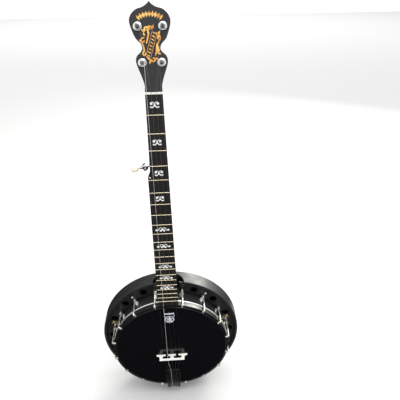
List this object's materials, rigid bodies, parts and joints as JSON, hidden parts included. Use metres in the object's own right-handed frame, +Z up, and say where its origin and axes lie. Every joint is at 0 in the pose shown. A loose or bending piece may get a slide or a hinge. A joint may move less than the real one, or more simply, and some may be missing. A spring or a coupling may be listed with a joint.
{
  "type": "resonator banjo",
  "caption": "Five-string banjo with a round drum pot, hooks around its hoop, a removable bowl-shaped resonator, a fretted neck with a side tuner and a crowned headstock.",
  "frame": {"origin": "on the centre line of the neck's back, level with the nut, where a neck hanger holds it", "axes": "+Z up the neck to the tip of the headstock, -Y the playing side that the strings and the head face, +X to the right of someone looking at the strings"},
  "size_m": [0.3524, 0.1117, 0.9663],
  "materials": {
    "black_satin_wood": "satin black lacquer",
    "fretboard_wood": "oiled, near black, with bright frets",
    "head_film": "gloss black film",
    "chrome": "polished",
    "aluminium": "satin",
    "brass": "dull",
    "maple": "bare, pale",
    "bone": "smooth, off white",
    "pearloid": "cream, polished",
    "black_metal": "satin black",
    "steel_string": "drawn wire"
  },
  "bodies": {
    "banjo": {"rim": "black_satin_wood", "tone_ring": "aluminium", "drum_head": "head_film", "flesh_hoop": "aluminium", "tension_hoop": "black_metal", "neck": "black_satin_wood", "fretboard": "fretboard_wood", "nut": "bone", "fifth_string_nut": "bone", "coordinator_rod": "chrome", "bridge": "maple", "tailpiece": "black_metal", "tailpiece_bolt": "chrome", "tuner_housing_1": "chrome", "tuner_housing_2": "chrome", "tuner_housing_3": "chrome", "tuner_housing_4": "chrome", "fifth_tuner_housing": "chrome", "string_1": "steel_string", "string_2": "steel_string", "string_3": "steel_string", "string_4": "steel_string", "string_5": "steel_string", "resonator_bracket_1": "brass", "resonator_bracket_2": "brass", "resonator_bracket_3": "brass", "resonator_bracket_4": "brass", "bracket_01": "chrome", "bracket_02": "chrome", "bracket_03": "chrome", "bracket_04": "chrome", "bracket_05": "chrome", "bracket_06": "chrome", "bracket_07": "chrome", "bracket_08": "chrome", "bracket_09": "chrome", "bracket_10": "chrome", "bracket_11": "chrome", "bracket_12": "chrome", "bracket_13": "chrome", "bracket_14": "chrome", "bracket_15": "chrome", "bracket_16": "chrome"},
    "resonator": {"resonator_shell": "black_satin_wood", "resonator_flange": "black_metal"},
    "tuner_button_1": {"tuner_button_1": "pearloid"},
    "tuner_post_1": {"tuner_post_1": "chrome"},
    "tuner_button_2": {"tuner_button_2": "pearloid"},
    "tuner_post_2": {"tuner_post_2": "chrome"},
    "tuner_button_3": {"tuner_button_3": "pearloid"},
    "tuner_post_3": {"tuner_post_3": "chrome"},
    "tuner_button_4": {"tuner_button_4": "pearloid"},
    "tuner_post_4": {"tuner_post_4": "chrome"},
    "fifth_tuner_button": {"fifth_tuner_button": "pearloid"},
    "fifth_tuner_post": {"fifth_tuner_post": "chrome"},
    "thumbscrew_1": {"thumbscrew_1": "chrome"},
    "thumbscrew_2": {"thumbscrew_2": "chrome"},
    "thumbscrew_3": {"thumbscrew_3": "chrome"},
    "thumbscrew_4": {"thumbscrew_4": "chrome"},
    "tailpiece_screw": {"tailpiece_screw": "black_metal"}
  },
  "joints": [
    {"name": "resonator_slide", "type": "slide", "parent": "banjo", "child": "resonator", "axis": [0, 1, 0], "range_m": [0, 0.08]},
    {"name": "tuner_button_1_turn", "type": "hinge", "parent": "banjo", "child": "tuner_button_1", "pos_m": [0.0168, 0.03209, 0.04208], "axis": [0, -0.9681, 0.2504], "continuous": true},
    {"name": "tuner_post_1_turn", "type": "hinge", "parent": "banjo", "child": "tuner_post_1", "pos_m": [0.0168, -0.0047, 0.05159], "axis": [0, -0.9681, 0.2504], "continuous": true},
    {"name": "tuner_button_2_turn", "type": "hinge", "parent": "banjo", "child": "tuner_button_2", "pos_m": [0.0215, 0.04682, 0.099], "axis": [0, -0.9681, 0.2504], "continuous": true},
    {"name": "tuner_post_2_turn", "type": "hinge", "parent": "banjo", "child": "tuner_post_2", "pos_m": [0.0215, 0.01003, 0.10852], "axis": [0, -0.9681, 0.2504], "continuous": true},
    {"name": "tuner_button_3_turn", "type": "hinge", "parent": "banjo", "child": "tuner_button_3", "pos_m": [-0.0215, 0.04682, 0.099], "axis": [0, -0.9681, 0.2504], "continuous": true},
    {"name": "tuner_post_3_turn", "type": "hinge", "parent": "banjo", "child": "tuner_post_3", "pos_m": [-0.0215, 0.01003, 0.10852], "axis": [0, -0.9681, 0.2504], "continuous": true},
    {"name": "tuner_button_4_turn", "type": "hinge", "parent": "banjo", "child": "tuner_button_4", "pos_m": [-0.0168, 0.03209, 0.04208], "axis": [0, -0.9681, 0.2504], "continuous": true},
    {"name": "tuner_post_4_turn", "type": "hinge", "parent": "banjo", "child": "tuner_post_4", "pos_m": [-0.0168, -0.0047, 0.05159], "axis": [0, -0.9681, 0.2504], "continuous": true},
    {"name": "fifth_tuner_button_turn", "type": "hinge", "parent": "banjo", "child": "fifth_tuner_button", "pos_m": [-0.04602, -0.01284, -0.14639], "axis": [0.9659, 0.0068, 0.2587], "continuous": true},
    {"name": "fifth_tuner_post_turn", "type": "hinge", "parent": "banjo", "child": "fifth_tuner_post", "pos_m": [-0.0267, -0.0127, -0.14122], "axis": [0, -0.9997, 0.0262], "continuous": true},
    {"name": "thumbscrew_1_turn", "type": "hinge", "parent": "banjo", "child": "thumbscrew_1", "pos_m": [0.14526, 0.0206, -0.60027], "axis": [0, 1, 0], "continuous": true},
    {"name": "thumbscrew_2_turn", "type": "hinge", "parent": "banjo", "child": "thumbscrew_2", "pos_m": [0.09839, 0.0206, -0.7585], "axis": [0, 1, 0], "continuous": true},
    {"name": "thumbscrew_3_turn", "type": "hinge", "parent": "banjo", "child": "thumbscrew_3", "pos_m": [-0.09839, 0.0206, -0.7585], "axis": [0, 1, 0], "continuous": true},
    {"name": "thumbscrew_4_turn", "type": "hinge", "parent": "banjo", "child": "thumbscrew_4", "pos_m": [-0.14526, 0.0206, -0.60027], "axis": [0, 1, 0], "continuous": true},
    {"name": "tailpiece_screw_turn", "type": "hinge", "parent": "banjo", "child": "tailpiece_screw", "pos_m": [0, -0.0185, -0.8], "axis": [0, 0, 1], "continuous": true}
  ],
  "couplings": [
    {"joint": "tuner_post_1_turn", "follows": "tuner_button_1_turn", "ratio": 0.25},
    {"joint": "tuner_post_2_turn", "follows": "tuner_button_2_turn", "ratio": 0.25},
    {"joint": "tuner_post_3_turn", "follows": "tuner_button_3_turn", "ratio": 0.25},
    {"joint": "tuner_post_4_turn", "follows": "tuner_button_4_turn", "ratio": 0.25},
    {"joint": "fifth_tuner_post_turn", "follows": "fifth_tuner_button_turn", "ratio": 0.071429}
  ]
}
